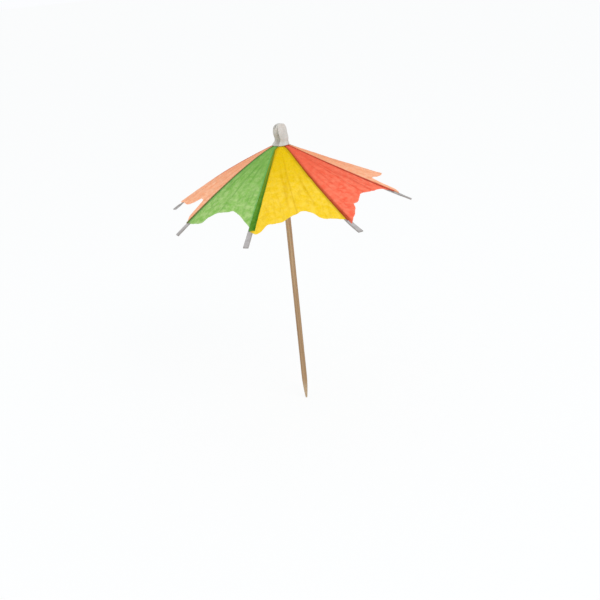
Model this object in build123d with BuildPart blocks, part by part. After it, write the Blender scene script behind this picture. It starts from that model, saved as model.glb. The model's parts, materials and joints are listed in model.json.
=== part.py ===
from build123d import *
import os
from math import atan, cos, degrees, hypot, pi, radians, sin, tan

# Cocktail umbrella on a wooden pick, opened.
# Millimetres and degrees, +Z up along the pick, origin at the pick's point.

# Pick: a round bamboo stick with an ogive point, eased a little thinner inside the canopy
pick_diameter = 1.9
pick_top_diameter = 1.7
point_length = 10.0
point_diameter = 0.6
pick_in_crown = 2.7
shank_margin = 1.5

# Sheet stock: rib card, thinner stretcher card, rolled newsprint lining, canopy paper
card_thickness = 0.4
stretcher_thickness = 0.3
lining_thickness = 0.25
paper_thickness = 0.15

# Clearances: on the pick, at a card fold, at a paper edge, in a glued roll, and each side of a
# gore's crease, where the halves need room to fold past each other towards the hem
slide_gap = 0.05
fold_gap = 0.1
edge_gap = 0.1
roll_gap = 0.03
crease_root_gap = 0.12
crease_hem_gap = 0.55

# Ribs: card fingers folded out of the crown tube's lower edge
rib_count = 8
crown_height = 92.4
open_angle = 63.0
rib_length = 43.4
rib_tip_width = 1.6
finger_slit = 0.15

# Canopy paper: a gore in two halves between each pair of ribs, with a lap glued on each rib
bare_tip = 5.2
hem_notch = 6.3
hem_sag = 0.8
gore_rise = 13.0
gore_root_width = 0.5

# Stretchers: card fingers from the runner, creased under a glued tab on each rib
stretcher_reach = 17.0
stretcher_tip_width = 1.3
tab_heel = 0.8
tab_length = 5.0

# Runner and the ring that stops it
runner_length = 5.2
runner_collar = 0.3
ring_wall = 0.35
ring_length = 1.7
ring_round_share = 0.8

# Finial: the crown tube's free end, pinched flat
finial_height = 7.3
pinch_thickness = 1.8
pinch_azimuth = -140.0
finial_corner = 2.2
pinch_solid = 1.4
packing_length = 2.3

# Radii from the pick outwards: the rib folds and the stretcher folds share one radius
pick_radius = pick_diameter / 2
bore_radius = pick_radius + slide_gap
runner_bore = bore_radius + lining_thickness
runner_radius = runner_bore + card_thickness
fold_radius = runner_radius + fold_gap + card_thickness / 2
crown_radius = fold_radius + card_thickness / 2
crown_bore = fold_radius - card_thickness / 2

# Angles and finger widths from the number of ribs
half_step = 180 / rib_count
finger_room = 2 * tan(radians(half_step))
rib_root_width = crown_bore * finger_room - finger_slit
stretcher_root_width = (fold_radius - stretcher_thickness / 2) * finger_room - 2 * finger_slit

# Heights of the linkage: equal arms above and below the crease keep the runner on the axis
crease_drop = card_thickness / 2 + stretcher_thickness + fold_gap + stretcher_thickness / 2
stretcher_length = hypot(stretcher_reach, crease_drop)
stretcher_angle = open_angle - degrees(atan(crease_drop / stretcher_reach))
runner_fold_height = crown_height - 2 * stretcher_length * cos(radians(stretcher_angle))
runner_top = runner_fold_height + runner_collar
runner_bottom = runner_top - runner_length
ring_top = runner_bottom - slide_gap
ring_bottom = ring_top - ring_length
shank_top = ring_bottom - shank_margin

# Heights of the crown
crown_base = crown_height + card_thickness / 2 + fold_gap
pick_top = crown_base + pick_in_crown
pinch_width = pi * (2 * crown_radius - pinch_thickness) / 2 + pinch_thickness

# Canopy paper along a rib, measured from the rib's fold
paper_reach = rib_length - bare_tip
hem_crease = paper_reach - hem_notch
hinge_offset = rib_tip_width / 2 + edge_gap
paper_level = card_thickness / 2 + paper_thickness / 2

# A rib's own directions at zero azimuth: along it, across it and square to its outer face
along = Vector(sin(radians(open_angle)), 0, -cos(radians(open_angle)))
across = Vector(0, 1, 0)
outward = Vector(cos(radians(open_angle)), 0, sin(radians(open_angle)))
rib_fold = Vector(fold_radius, 0, crown_height)

# A half gore rises from the flat chord between two ribs to the crease on the plane halfway
chord_dip = degrees(atan(cos(radians(open_angle)) * tan(radians(half_step))))
gore_tilt = gore_rise - chord_dip
gore_hinge = rib_fold + across * hinge_offset + outward * paper_level
gore_side = across * cos(radians(gore_tilt)) + outward * sin(radians(gore_tilt))
crease_normal = Vector(-sin(radians(half_step)), cos(radians(half_step)), 0)


def spun(vector, azimuth):
    """The vector turned about the pick's axis."""
    return vector.rotate(Axis.Z, azimuth)


def turned_plane(origin, x_dir, z_dir, azimuth):
    """A plane given at zero azimuth, turned about the pick's axis."""
    return Plane(origin=spun(origin, azimuth), x_dir=spun(x_dir, azimuth), z_dir=spun(z_dir, azimuth))


def rib_width(distance):
    """Width of a rib at a distance from its fold."""
    return rib_root_width + (rib_tip_width - rib_root_width) * distance / rib_length


def crease_width(distance, gap):
    """Width of a half gore, from the rib's edge to the crease, at a distance from the fold."""
    room = -gap - gore_hinge.dot(crease_normal) - distance * along.dot(crease_normal)
    return room / gore_side.dot(crease_normal)


def crease_distance(width, gap):
    """Distance from the fold at which a half gore has the given width."""
    room = -gap - gore_hinge.dot(crease_normal) - width * gore_side.dot(crease_normal)
    return room / along.dot(crease_normal)


def pinch_radii(height, inset):
    """Half width and half thickness of the crown tube at a height above its lower edge."""
    share = height / finial_height
    half_width = crown_radius + (pinch_width / 2 - crown_radius) * share
    half_thickness = crown_radius + (pinch_thickness / 2 - crown_radius) * share
    return half_width - inset, half_thickness - inset


def write(piece, name):
    """Label a finished piece and write it as its own file."""
    piece.part.label = name
    export_step(piece.part, f"parts/{name}.step")


os.makedirs("parts", exist_ok=True)
paper_start = crease_distance(gore_root_width, crease_root_gap)
hem_width = crease_width(hem_crease, crease_hem_gap)
rib_azimuths = [half_step * (2 * number + 1) for number in range(rib_count)]

# Pick
with BuildPart() as pick:
    with BuildSketch(Plane.XZ):
        with BuildLine():
            Line((0, 0), (point_diameter / 2, 0))
            TangentArc((pick_radius, point_length), (point_diameter / 2, 0), tangent=(0, -1))
            Polyline(
                (pick_radius, point_length),
                (pick_radius, shank_top),
                (pick_top_diameter / 2, pick_top),
                (0, pick_top),
                (0, 0),
            )
        make_face()
    revolve(axis=Axis.Z)
write(pick, "pick")

# Crown tube: round at its lower edge, pinched flat at the top, with rounded upper corners
with BuildPart() as crown_tube:
    pinch_along = spun(Vector(1, 0, 0), pinch_azimuth)
    pinch_across = spun(Vector(0, 1, 0), pinch_azimuth)
    base_plane = Plane(origin=(0, 0, crown_base), x_dir=pinch_along, z_dir=(0, 0, 1))
    cavity_height = finial_height - pinch_solid
    with BuildSketch(base_plane):
        Circle(crown_radius)
    with BuildSketch(base_plane.offset(finial_height)):
        Ellipse(*pinch_radii(finial_height, 0))
    loft()
    with BuildSketch(base_plane):
        Circle(crown_bore)
    with BuildSketch(base_plane.offset(cavity_height)):
        Ellipse(*pinch_radii(cavity_height, card_thickness))
    loft(mode=Mode.SUBTRACT)
    with BuildSketch(Plane(origin=(0, 0, crown_base), x_dir=pinch_along, z_dir=-pinch_across)):
        with Locations((0, finial_height / 2)):
            silhouette = Rectangle(pinch_width, finial_height)
        fillet(silhouette.vertices().group_by(Axis.Y)[-1], finial_corner)
    extrude(amount=2 * crown_radius, both=True, mode=Mode.INTERSECT)
write(crown_tube, "crown_tube")

# Crown packing: rolled newsprint between the pick and the crown tube
with BuildPart() as crown_packing:
    with BuildSketch(base_plane):
        Circle(crown_bore - roll_gap)
    with BuildSketch(base_plane.offset(packing_length)):
        Ellipse(*pinch_radii(packing_length, card_thickness + roll_gap))
    loft()
    add(pick.part, mode=Mode.SUBTRACT)
write(crown_packing, "crown_packing")

# Runner tube and its lining
with BuildPart() as runner_tube:
    with BuildSketch(Plane.XY.offset(runner_bottom)):
        Circle(runner_radius)
        Circle(runner_bore, mode=Mode.SUBTRACT)
    extrude(amount=runner_length)
write(runner_tube, "runner_tube")

with BuildPart() as runner_lining:
    with BuildSketch(Plane.XY.offset(runner_bottom)):
        Circle(runner_bore)
        Circle(bore_radius, mode=Mode.SUBTRACT)
    extrude(amount=runner_length)
write(runner_lining, "runner_lining")

# Retaining ring: a short plastic sleeve with rounded outer edges
with BuildPart() as retaining_ring:
    with BuildSketch(Plane.XY.offset(ring_bottom)):
        Circle(bore_radius + ring_wall)
        Circle(bore_radius, mode=Mode.SUBTRACT)
    extrude(amount=ring_length)
    outer_edges = retaining_ring.edges().filter_by(GeomType.CIRCLE).group_by(SortBy.RADIUS)[-1]
    fillet(outer_edges, ring_wall * ring_round_share)
write(retaining_ring, "retaining_ring")

for index, azimuth in enumerate(rib_azimuths):
    number = index + 1
    rib_plane = turned_plane(rib_fold, along, outward, azimuth)

    # Rib: a tapered card finger with a rounded fold at its inner end
    with BuildPart() as rib:
        with BuildSketch(rib_plane):
            with BuildLine():
                Polyline(
                    (0, -rib_root_width / 2),
                    (rib_length, -rib_tip_width / 2),
                    (rib_length, rib_tip_width / 2),
                    (0, rib_root_width / 2),
                    close=True,
                )
            make_face()
        extrude(amount=card_thickness / 2, both=True)
        with BuildSketch(turned_plane(rib_fold, along, across, azimuth)):
            Circle(card_thickness / 2)
        extrude(amount=rib_root_width / 2, both=True)
    write(rib, f"rib_{number}")

    # Seam lap: the paper strip glued along the top of the rib
    with BuildPart() as seam_lap:
        with BuildSketch(rib_plane.offset(card_thickness / 2)):
            with BuildLine():
                Polyline(
                    (paper_start, -rib_width(paper_start) / 2),
                    (paper_reach, -rib_width(paper_reach) / 2),
                    (paper_reach, rib_width(paper_reach) / 2),
                    (paper_start, rib_width(paper_start) / 2),
                    close=True,
                )
            make_face()
        extrude(amount=paper_thickness)
    write(seam_lap, f"seam_lap_{number}")

    # Stretcher tab: the stretcher's end glued flat under the rib
    with BuildPart() as stretcher_tab:
        with BuildSketch(rib_plane.offset(-card_thickness / 2)):
            with Locations((stretcher_reach + (tab_length - tab_heel) / 2, 0)):
                Rectangle(tab_length + tab_heel, stretcher_tip_width)
        extrude(amount=-stretcher_thickness)
    write(stretcher_tab, f"stretcher_tab_{number}")

    # Stretcher: from the crease under the tab down to the runner, rounded at both folds
    crease = rib_fold + along * stretcher_reach - outward * crease_drop
    inward = Vector(-sin(radians(stretcher_angle)), 0, -cos(radians(stretcher_angle)))
    runner_fold = crease + inward * stretcher_length
    with BuildPart() as stretcher:
        with BuildSketch(turned_plane(crease, inward, inward.cross(across), azimuth)):
            with BuildLine():
                Polyline(
                    (0, -stretcher_tip_width / 2),
                    (stretcher_length, -stretcher_root_width / 2),
                    (stretcher_length, stretcher_root_width / 2),
                    (0, stretcher_tip_width / 2),
                    close=True,
                )
            make_face()
        extrude(amount=stretcher_thickness / 2, both=True)
        with BuildSketch(turned_plane(crease, inward, across, azimuth)):
            Circle(stretcher_thickness / 2)
        extrude(amount=stretcher_tip_width / 2, both=True)
        with BuildSketch(turned_plane(runner_fold, inward, across, azimuth)):
            Circle(stretcher_thickness / 2)
        extrude(amount=stretcher_root_width / 2, both=True)
    write(stretcher, f"stretcher_{number}")

    # Half gores: one on this rib's far side, and the other on the next rib's near side
    hem_chord = Vector(hem_crease - paper_reach, hem_width)
    hem_pull = hem_chord.normalized().rotate(Axis.Z, 90) * hem_sag
    hem_middle = Vector(paper_reach, 0) + hem_chord / 2 + hem_pull
    for letter, side, carrier in (("a", 1, azimuth), ("b", -1, azimuth + 2 * half_step)):
        hinge = rib_fold + across * (side * hinge_offset) + outward * paper_level
        half_side = across * (side * cos(radians(gore_tilt))) + outward * sin(radians(gore_tilt))
        with BuildPart() as panel:
            with BuildSketch(turned_plane(hinge, along, along.cross(half_side), carrier)):
                with BuildLine():
                    Line((paper_start, 0), (paper_reach, 0))
                    ThreePointArc((paper_reach, 0), hem_middle, (hem_crease, hem_width))
                    Polyline(
                        (hem_crease, hem_width),
                        (paper_start, gore_root_width),
                        (paper_start, 0),
                    )
                make_face()
            extrude(amount=paper_thickness / 2, both=True)
        write(panel, f"panel_{number}{letter}")
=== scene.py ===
import json
import math
import random

import bpy
from mathutils import Matrix, Vector, noise


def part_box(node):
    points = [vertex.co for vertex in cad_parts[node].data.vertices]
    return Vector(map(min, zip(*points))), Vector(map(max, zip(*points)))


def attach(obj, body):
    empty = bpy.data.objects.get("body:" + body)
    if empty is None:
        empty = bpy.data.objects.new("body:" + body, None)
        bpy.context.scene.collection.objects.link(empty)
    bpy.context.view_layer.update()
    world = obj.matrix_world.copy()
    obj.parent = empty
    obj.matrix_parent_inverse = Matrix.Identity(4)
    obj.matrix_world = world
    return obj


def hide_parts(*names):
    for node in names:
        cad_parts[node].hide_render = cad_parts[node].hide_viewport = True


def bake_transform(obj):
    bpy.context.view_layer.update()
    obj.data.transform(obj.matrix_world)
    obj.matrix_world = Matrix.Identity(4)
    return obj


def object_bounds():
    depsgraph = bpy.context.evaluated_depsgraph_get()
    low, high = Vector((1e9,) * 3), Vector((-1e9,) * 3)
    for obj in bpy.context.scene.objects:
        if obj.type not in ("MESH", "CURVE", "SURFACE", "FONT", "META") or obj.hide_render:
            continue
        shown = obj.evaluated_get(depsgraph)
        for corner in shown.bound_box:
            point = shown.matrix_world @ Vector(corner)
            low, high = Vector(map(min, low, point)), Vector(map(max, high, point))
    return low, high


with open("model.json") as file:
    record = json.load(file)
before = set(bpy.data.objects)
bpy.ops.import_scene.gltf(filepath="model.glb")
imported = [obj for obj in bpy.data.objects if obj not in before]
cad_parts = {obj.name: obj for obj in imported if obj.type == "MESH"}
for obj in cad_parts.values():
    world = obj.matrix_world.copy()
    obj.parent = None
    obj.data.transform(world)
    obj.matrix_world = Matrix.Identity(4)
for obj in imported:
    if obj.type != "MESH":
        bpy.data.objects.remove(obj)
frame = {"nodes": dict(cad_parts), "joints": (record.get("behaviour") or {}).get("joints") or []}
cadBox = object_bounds()
nodes = frame["nodes"]
joints = {joint["name"]: joint for joint in frame["joints"]}
ribCount = sum(name.startswith("rib_fold_") for name in joints)
ribNumbers = range(1, ribCount + 1)
mm = 0.001
onFace = 0.01 * mm  # how near to a face a point still counts as on it
upward = Vector((0, 0, 1))
print("frame loaded:", len(nodes), "solids,", len(joints), "joints,", ribCount, "ribs")


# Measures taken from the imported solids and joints
def spanOf(nodeName, origin, direction):
    reach = [(vertex.co - origin).dot(direction) for vertex in nodes[nodeName].data.vertices]
    return min(reach), max(reach)


def pointsOf(nodeName, low=-math.inf, high=math.inf):
    return [v.co.copy() for v in nodes[nodeName].data.vertices if low <= v.co.z <= high]


def widestOf(points):
    return max(point.xy.length for point in points)


def nextRib(number):
    return number % ribCount + 1


def ribDirections(number):
    fold = joints[f"rib_fold_{number}"]
    across = Vector(fold["axis"]).normalized()
    along = Vector(joints[f"paper_fold_{number}a"]["axis"]).normalized()
    return {
        "fold": Vector(fold["pos_m"]),
        "across": across,
        "along": along,
        "outward": along.cross(across),
        "crease": Vector(joints[f"stretcher_fold_{number}"]["pos_m"]),
    }


ribs = {number: ribDirections(number) for number in ribNumbers}
first = ribs[1]
ribReach = spanOf("rib_1", first["fold"], first["along"])[1]
ribTipHalf = spanOf("rib_1", first["fold"], first["across"])[1]
cardHalf = spanOf("rib_1", first["fold"], first["outward"])[1]
paperReach = spanOf("seam_lap_1", first["fold"], first["along"])[1]
paperHinge = Vector(joints["paper_fold_1a"]["pos_m"]) - first["fold"]
hingeSide = paperHinge.dot(first["across"])
paperLevel = paperHinge.dot(first["outward"])
ribAngle = ribs[1]["along"].angle(ribs[2]["along"]) / 2


def within(value, low=0, high=1):
    return min(max(value, low), high)


def smooth(low, high, value):
    share = within((value - low) / (high - low))
    return share * share * (3 - 2 * share)


def between(start, end, share):
    return start + (end - start) * share


def fromSrgb(red, green, blue):
    channels = [value / 255 for value in (red, green, blue)]
    linear = [c / 12.92 if c <= 0.04045 else ((c + 0.055) / 1.055) ** 2.4 for c in channels]
    return (*linear, 1.0)


# Node helpers
def feed(tree, socket, value):
    if isinstance(value, bpy.types.NodeSocket):
        tree.links.new(value, socket)
    else:
        socket.default_value = value


def put(tree, kind, inputs=None, **settings):
    node = tree.nodes.new(kind)
    for label, value in settings.items():
        setattr(node, label, value)
    for label, value in (inputs or {}).items():
        feed(tree, node.inputs[label], value)
    return node


def calc(tree, operation, left, right=0.0, clamp=False):
    node = put(tree, "ShaderNodeMath", {0: left, 1: right}, operation=operation, use_clamp=clamp)
    return node.outputs[0]


def remap(tree, value, low, high, outLow=0.0, outHigh=1.0):
    limits = {"Value": value, "From Min": low, "From Max": high, "To Min": outLow, "To Max": outHigh}
    return put(tree, "ShaderNodeMapRange", limits, interpolation_type="SMOOTHSTEP").outputs[0]


def mixColors(tree, share, under, over):
    node = put(tree, "ShaderNodeMix", data_type="RGBA")
    feed(tree, node.inputs[0], share)
    feed(tree, node.inputs[6], under)
    feed(tree, node.inputs[7], over)
    return node.outputs[2]


def stretched(tree, vector, scales):
    return put(tree, "ShaderNodeVectorMath", {0: vector, 1: scales}, operation="MULTIPLY").outputs[0]


def cloud(tree, vector, scale, detail=2.0, roughness=0.5, distortion=0.0):
    inputs = {
        "Vector": vector,
        "Scale": scale,
        "Detail": detail,
        "Roughness": roughness,
        "Distortion": distortion,
    }
    return put(tree, "ShaderNodeTexNoise", inputs).outputs[0]


# One colour laid over another where a mask is high
def tint(tree, color, mask, share, shade):
    return mixColors(tree, calc(tree, "MULTIPLY", mask, share), color, shade)


def twoTone(tree, pattern, look):
    shade = remap(tree, pattern, *look["toneRange"])
    return mixColors(tree, shade, fromSrgb(*look["light"]), fromSrgb(*look["dark"]))


def objectPlace(tree):
    return put(tree, "ShaderNodeTexCoord").outputs["Object"]


def markOf(tree, label):
    return put(tree, "ShaderNodeAttribute", attribute_name=label).outputs["Fac"]


def reliefOf(tree, height, look):
    relief = {"Height": height, "Strength": look["bumpStrength"], "Distance": look["bumpDistance"]}
    return put(tree, "ShaderNodeBump", relief).outputs[0]


def principled(tree, color, rough, normal, more=None):
    inputs = {"Base Color": color, "Roughness": rough, "Normal": normal, **(more or {})}
    return put(tree, "ShaderNodeBsdfPrincipled", inputs).outputs[0]


def newGroup(name, inputs, outputs):
    group = bpy.data.node_groups.new(name, "ShaderNodeTree")
    for label, kind, value in inputs:
        socket = group.interface.new_socket(name=label, in_out="INPUT", socket_type="NodeSocket" + kind)
        if value is not None:
            socket.default_value = value
    for label, kind in outputs:
        group.interface.new_socket(name=label, in_out="OUTPUT", socket_type="NodeSocket" + kind)
    entry = group.nodes.new("NodeGroupInput")
    leave = group.nodes.new("NodeGroupOutput")
    return group, entry.outputs, leave.inputs


def useGroup(tree, group, inputs):
    node = tree.nodes.new("ShaderNodeGroup")
    node.node_tree = group
    for label, value in inputs.items():
        feed(tree, node.inputs[label], value)
    return node.outputs


def newFinish(name):
    finish = bpy.data.materials.new(name)
    finish.use_nodes = True
    tree = finish.node_tree
    tree.nodes.clear()
    return finish, tree, tree.nodes.new("ShaderNodeOutputMaterial").inputs["Surface"]


# Fibres: short hairs lying every way in a sheet, as the contour lines of two noises
fibreLook = {
    "hairs": ((1.0, 0.9), (1.7, 0.5)),  # scale and distortion of each noise
    "gapScale": 0.8,
    "gapRange": (0.45, 0.62),  # no hairs below the first level
    "grainScale": 4.0,
}


def makeFibres():
    inputs = [("Vector", "Vector", None), ("Scale", "Float", 1.0), ("Width", "Float", 0.02)]
    group, given, out = newGroup("paperFibres", inputs, [("Hairs", "Float"), ("Grain", "Float")])

    def scaled(share):
        return calc(group, "MULTIPLY", given["Scale"], share)

    lines = []
    for share, distortion in fibreLook["hairs"]:
        level = cloud(group, given["Vector"], scaled(share), 1.0, 0.5, distortion)
        offLine = calc(group, "ABSOLUTE", calc(group, "SUBTRACT", level, 0.5))
        lines.append(remap(group, offLine, 0.0, given["Width"], 1.0, 0.0))
    gaps = cloud(group, given["Vector"], scaled(fibreLook["gapScale"]), 1.0)
    shown = remap(group, gaps, *fibreLook["gapRange"])
    feed(group, out["Hairs"], calc(group, "MULTIPLY", calc(group, "MAXIMUM", *lines), shown))
    feed(group, out["Grain"], cloud(group, given["Vector"], scaled(fibreLook["grainScale"]), 3.0, 0.65))
    return group


# Crepe: cloudy formation, and fine wrinkles that run along the sheet's second direction
crepeLook = {
    "patchScale": 0.55,  # scales are per millimetre of the flat map
    "patchRange": (0.32, 0.68),
    "streakScale": 1.1,
    "streakRange": (0.3, 0.7),
    "rippleScale": 3.2,
    "rippleShare": 0.5,
    "dentScale": 0.8,
    "dentShare": 0.35,
}


def makeCrepe():
    outputs = [(label, "Float") for label in ("Formation", "Streaks", "Height")]
    inputs = [("Vector", "Vector", None), ("Run", "Float", 0.22)]
    group, given, out = newGroup("crepeTissue", inputs, outputs)
    patches = cloud(group, given["Vector"], crepeLook["patchScale"], 5.0, 0.62, 0.3)
    feed(group, out["Formation"], remap(group, patches, *crepeLook["patchRange"]))
    split = put(group, "ShaderNodeSeparateXYZ", {0: given["Vector"]}).outputs
    runs = calc(group, "MULTIPLY", split["Y"], given["Run"])
    drawn = put(group, "ShaderNodeCombineXYZ", {"X": split["X"], "Y": runs}).outputs[0]
    streaks = cloud(group, drawn, crepeLook["streakScale"], 3.0, 0.6, 0.6)
    feed(group, out["Streaks"], remap(group, streaks, *crepeLook["streakRange"]))
    cells = {"Vector": given["Vector"], "Scale": crepeLook["dentScale"]}
    crumple = put(group, "ShaderNodeTexVoronoi", cells).outputs["Distance"]
    fine = cloud(group, drawn, crepeLook["rippleScale"], 2.0, 0.6, 0.4)
    ripples = calc(group, "ADD", streaks, calc(group, "MULTIPLY", fine, crepeLook["rippleShare"]))
    dents = calc(group, "MULTIPLY", crumple, crepeLook["dentShare"])
    feed(group, out["Height"], calc(group, "ADD", dents, ripples))
    return group


# Worn edge and painted shade: the colour shifts towards a second one near a cut or torn edge, and in the
# finial's groove, where it is painted shade
edgeWearAndShadeLook = {"patchRange": (0.3, 0.65), "least": 0.25}


def makeEdgeWearAndShade():
    inputs = [
        ("Color", "Color", None),
        ("Edge Color", "Color", None),
        ("Amount", "Float", 0.5),
        ("Vector", "Vector", None),
        ("Scale", "Float", 1.3),
    ]
    group, given, out = newGroup("edgeWearAndShade", inputs, [("Color", "Color"), ("Mask", "Float")])
    patches = cloud(group, given["Vector"], given["Scale"], 3.0, 0.6)
    broken = remap(group, patches, *edgeWearAndShadeLook["patchRange"], edgeWearAndShadeLook["least"], 1.0)
    # The rim mark carries real edge wear, and painted shade in the finial's groove
    uneven = calc(group, "MULTIPLY", markOf(group, "rim"), broken)
    mask = calc(group, "MULTIPLY", uneven, given["Amount"], clamp=True)
    feed(group, out["Color"], mixColors(group, mask, given["Color"], given["Edge Color"]))
    feed(group, out["Mask"], mask)
    return group


fibreGroup = makeFibres()
crepeGroup = makeCrepe()
edgeWearAndShadeGroup = makeEdgeWearAndShade()
print("node groups made:", len(bpy.data.node_groups))


# Tissue paper: thin, mottled and lit through, deeper at the crown and paler at the hem
tissue = {
    "throughLight": 0.3,
    "lapThroughLight": 0.12,
    "roughness": 0.82,
    "specular": 0.05,
    "bumpStrength": 0.5,
    "bumpDistance": 0.07 * mm,
    "fibreScale": 0.9,  # per millimetre of the flat map
    "fibreWidth": 0.03,
    "crownReach": 5.0,  # millimetres from the pick's axis
    "hemReach": 34.0,
    "crownPale": 0.12,
    "hemPale": 0.75,
    "streakRange": (0.5, 1.0),
    "streakShare": 0.25,
    "hairShare": 0.3,
    "paintedShadeShare": 0.6,
    "ribShadowShare": 0.6,
    "edgeAmount": 0.4,
}


def tissueFinish(name, shades, throughLight):
    crown, hem, pale, deep, ribShadow = (fromSrgb(*shade) for shade in shades)
    finish, tree, surface = newFinish(name)
    flat = put(tree, "ShaderNodeUVMap", uv_map="paperMap").outputs[0]
    crepe = useGroup(tree, crepeGroup, {"Vector": flat})
    hairs = {"Vector": flat, "Scale": tissue["fibreScale"], "Width": tissue["fibreWidth"]}
    fibres = useGroup(tree, fibreGroup, hairs)
    reach = put(tree, "ShaderNodeSeparateXYZ", {0: flat}).outputs["Y"]
    outer = remap(tree, reach, tissue["crownReach"], tissue["hemReach"])
    paleShare = remap(tree, outer, 0.0, 1.0, tissue["crownPale"], tissue["hemPale"])
    streaks = remap(tree, crepe["Streaks"], *tissue["streakRange"])
    color = mixColors(tree, outer, crown, hem)
    color = tint(tree, color, crepe["Formation"], paleShare, pale)
    color = tint(tree, color, streaks, tissue["streakShare"], deep)
    color = tint(tree, color, fibres["Hairs"], tissue["hairShare"], pale)
    # Painted shadow of the rib card under the paper, where its mark is high
    color = tint(tree, color, markOf(tree, "ribShadow"), tissue["ribShadowShare"], ribShadow)
    # Painted shade along the gores' creases and wrinkle lines, and along one side of each lap
    color = tint(tree, color, markOf(tree, "paintedShade"), tissue["paintedShadeShare"], deep)
    edge = {"Color": color, "Edge Color": pale, "Vector": flat, "Amount": tissue["edgeAmount"]}
    color = useGroup(tree, edgeWearAndShadeGroup, edge)["Color"]
    normal = reliefOf(tree, crepe["Height"], tissue)
    sheet = principled(tree, color, tissue["roughness"], normal, {"Specular IOR Level": tissue["specular"]})
    glow = put(tree, "ShaderNodeBsdfTranslucent", {"Color": color, "Normal": normal}).outputs[0]
    feed(tree, surface, put(tree, "ShaderNodeMixShader", {0: throughLight, 1: sheet, 2: glow}).outputs[0])
    return finish


# Shades of each tissue: at the crown, at the hem, thin spots, deep for streaks and painted fold shade, and
# the painted shadow of the ribs' card seen through the paper
tissueShades = {
    "paper_yellow": ((238, 206, 4), (246, 214, 34), (253, 228, 92), (222, 180, 4), (212, 174, 24)),
    "paper_green": ((134, 186, 88), (146, 200, 98), (198, 224, 154), (94, 160, 62), (100, 180, 96)),
    "paper_coral": ((242, 112, 82), (249, 114, 84), (255, 158, 126), (220, 80, 54), (222, 90, 66)),
    "paper_peach": ((246, 182, 138), (248, 184, 140), (254, 214, 182), (232, 144, 102), (222, 158, 120)),
}
# Shades of each lap: at the crown, its body, thin spots, and deep for streaks and the painted shade on its
# dark side
lapShades = {
    "lap_olive": ((98, 106, 50), (98, 106, 50), (136, 138, 82), (62, 74, 34)),
    # lap_green's olive crown shade is painted shade: the rib's shadow seen through the yellow paper
    "lap_green": ((134, 146, 34), (72, 130, 26), (108, 160, 60), (42, 100, 22)),
    "lap_rust": ((178, 88, 26), (180, 64, 32), (208, 104, 66), (136, 42, 20)),
    "lap_red": ((206, 80, 56), (206, 80, 56), (234, 126, 96), (162, 52, 36)),
}
finishes = {}
for shadeName, shades in tissueShades.items():
    finishes[shadeName] = tissueFinish(shadeName, shades, tissue["throughLight"])
for shadeName, shades in lapShades.items():
    finishes[shadeName] = tissueFinish(shadeName, (*shades, shades[1]), tissue["lapThroughLight"])


# Card and newsprint: matt grey board with fibres showing and soiled cut edges
def boardFinish(name, look):
    finish, tree, surface = newFinish(name)
    place = objectPlace(tree)
    hairs = {"Vector": place, "Scale": look["fibreScale"], "Width": look["fibreWidth"]}
    fibres = useGroup(tree, fibreGroup, hairs)
    specks = remap(tree, fibres["Grain"], *look["speckRange"])
    color = twoTone(tree, cloud(tree, place, look["patchScale"], 4.0, 0.6), look)
    color = tint(tree, color, fibres["Hairs"], look["hairShare"], fromSrgb(*look["hair"]))
    color = tint(tree, color, specks, look["speckShare"], fromSrgb(*look["speck"]))
    edge = {"Color": color, "Edge Color": fromSrgb(*look["edge"]), "Vector": place}
    edge |= {"Amount": look["edgeAmount"], "Scale": look["patchScale"]}
    color = useGroup(tree, edgeWearAndShadeGroup, edge)["Color"]
    rough = remap(tree, fibres["Grain"], *look["grainRange"], *look["roughness"])
    lift = calc(tree, "ADD", fibres["Grain"], calc(tree, "MULTIPLY", fibres["Hairs"], look["hairLift"]))
    feed(tree, surface, principled(tree, color, rough, reliefOf(tree, lift, look)))
    return finish


crownCard = {
    "light": (208, 206, 200),
    "dark": (188, 185, 178),
    "toneRange": (0.3, 0.7),
    "hair": (164, 158, 150),
    "hairShare": 0.4,
    "hairLift": 0.5,
    "speck": (150, 145, 138),
    "speckShare": 0.35,
    "speckRange": (0.58, 0.74),
    # The colour of soiled cut edges, and also of the painted shade in the finial's groove
    "edge": (132, 125, 112),
    "edgeAmount": 0.65,
    "fibreScale": 1100.0,
    "fibreWidth": 0.025,
    "patchScale": 420.0,
    "grainRange": (0.25, 0.75),
    "roughness": (0.74, 0.9),
    "bumpStrength": 0.5,
    "bumpDistance": 0.03 * mm,
}
ribCard = {
    **crownCard,
    "light": (180, 177, 176),
    "dark": (160, 156, 154),
    "hair": (140, 134, 130),
    "edge": (138, 131, 124),
}
newsprint = {
    **crownCard,
    "light": (196, 191, 180),
    "dark": (172, 166, 154),
    "hair": (120, 114, 104),
    "speck": (112, 108, 100),
    "edge": (150, 142, 128),
}
finishes["crownCard"] = boardFinish("crown_card", crownCard)
finishes["ribCard"] = boardFinish("rib_card", ribCard)
finishes["newsprint"] = boardFinish("rolled_newsprint", newsprint)


# Bamboo: straight pores and streaks along the stick, browner below and pale at the cut point
bamboo = {
    "light": (206, 176, 136),
    "dark": (160, 126, 88),
    "toneRange": (0.3, 0.7),
    "pore": (118, 88, 58),
    "lowTone": (138, 106, 72),
    "cut": (206, 188, 158),
    "toneTop": 74 * mm,  # the stick is palest above this height
    "toneLow": 22 * mm,
    "lowShare": 0.55,
    "cutShare": 0.7,
    "cutScale": 900.0,
    "streakScale": 2400.0,
    "streakRun": 0.018,
    "poreScale": 5200.0,
    "poreRun": 0.01,
    "poreRange": (0.58, 0.7),
    "poreShare": 0.4,
    "poreDepth": 0.5,
    "roughness": (0.52, 0.68),
    "bumpStrength": 0.55,
    "bumpDistance": 0.04 * mm,
}


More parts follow.
